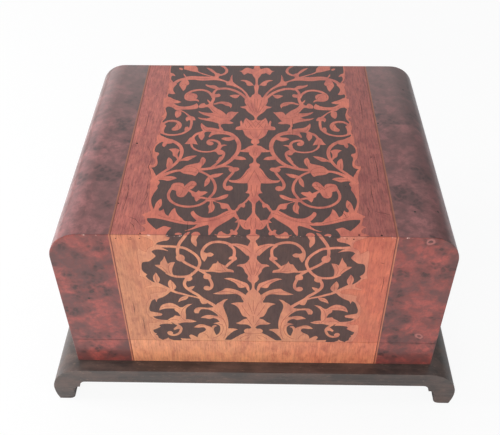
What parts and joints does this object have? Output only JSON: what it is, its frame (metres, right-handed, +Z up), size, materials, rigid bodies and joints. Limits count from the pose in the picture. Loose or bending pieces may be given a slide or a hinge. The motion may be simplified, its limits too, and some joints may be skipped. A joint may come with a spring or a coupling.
{
  "type": "inlaid wooden box",
  "caption": "Veneered wooden box on a scroll-foot stand: rounded shoulders, burl ends, dark marquetry panels in a light band, and a deep lid hinged at the back.",
  "frame": {"origin": "on the floor under the middle of the box and stand", "axes": "+X to the right of the front, +Y from the front to the back, +Z up"},
  "size_m": [0.346, 0.258, 0.1895],
  "materials": {
    "ebonised_wood": "ebonised, rubbed lacquer",
    "burl_veneer": "french polished burl",
    "satinwood_veneer": "french polished straight grain",
    "dark_ground": "french polished rosewood",
    "light_string": "french polished boxwood",
    "dark_string": "french polished dyed pear",
    "carcase_wood": "planed and waxed",
    "lining": "cotton velvet",
    "brass": "aged",
    "steel_screw": "dull",
    "beech_dowel": "planed"
  },
  "bodies": {
    "base": {"foot_rail_left": "ebonised_wood", "foot_rail_right": "ebonised_wood", "hinge_left_pin": "brass", "hinge_left_tray_leaf": "brass", "hinge_right_pin": "brass", "hinge_right_tray_leaf": "brass", "hinge_tray_screws": "brass", "stand_back_facing_left": "ebonised_wood", "stand_back_facing_right": "ebonised_wood", "stand_board": "ebonised_wood", "stand_dowels": "beech_dowel", "stand_front_facing_left": "ebonised_wood", "stand_front_facing_right": "ebonised_wood", "stand_screws": "steel_screw", "tray_back_band": "satinwood_veneer", "tray_back_burl_left": "burl_veneer", "tray_back_burl_right": "burl_veneer", "tray_back_rail": "carcase_wood", "tray_bottom_board": "carcase_wood", "tray_dark_strings": "dark_string", "tray_front_band": "satinwood_veneer", "tray_front_burl_left": "burl_veneer", "tray_front_burl_right": "burl_veneer", "tray_front_rail": "carcase_wood", "tray_left_rail": "carcase_wood", "tray_light_strings": "light_string", "tray_lining": "lining", "tray_right_rail": "carcase_wood", "tray_side_burl_left": "burl_veneer", "tray_side_burl_right": "burl_veneer"},
    "lid": {"hinge_left_lid_leaf": "brass", "hinge_lid_screws": "brass", "hinge_right_lid_leaf": "brass", "lid_back_band": "satinwood_veneer", "lid_back_board": "carcase_wood", "lid_back_burl_left": "burl_veneer", "lid_back_burl_right": "burl_veneer", "lid_back_ground": "dark_ground", "lid_burl_wrap_left": "burl_veneer", "lid_burl_wrap_right": "burl_veneer", "lid_dark_strings": "dark_string", "lid_front_band": "satinwood_veneer", "lid_front_board": "carcase_wood", "lid_front_burl_left": "burl_veneer", "lid_front_burl_right": "burl_veneer", "lid_front_ground": "dark_ground", "lid_left_board": "carcase_wood", "lid_left_shoulder": "carcase_wood", "lid_light_strings": "light_string", "lid_right_board": "carcase_wood", "lid_right_shoulder": "carcase_wood", "lid_top_band_left": "satinwood_veneer", "lid_top_band_right": "satinwood_veneer", "lid_top_board": "carcase_wood", "lid_top_dark_strings": "dark_string", "lid_top_ground": "dark_ground", "lid_top_light_strings": "light_string"}
  },
  "joints": [
    {"name": "lid_hinge", "type": "hinge", "parent": "base", "child": "lid", "pos_m": [0, 0.121, 0.06965], "axis": [-1, 0, 0], "range_deg": [0, 95]}
  ]
}
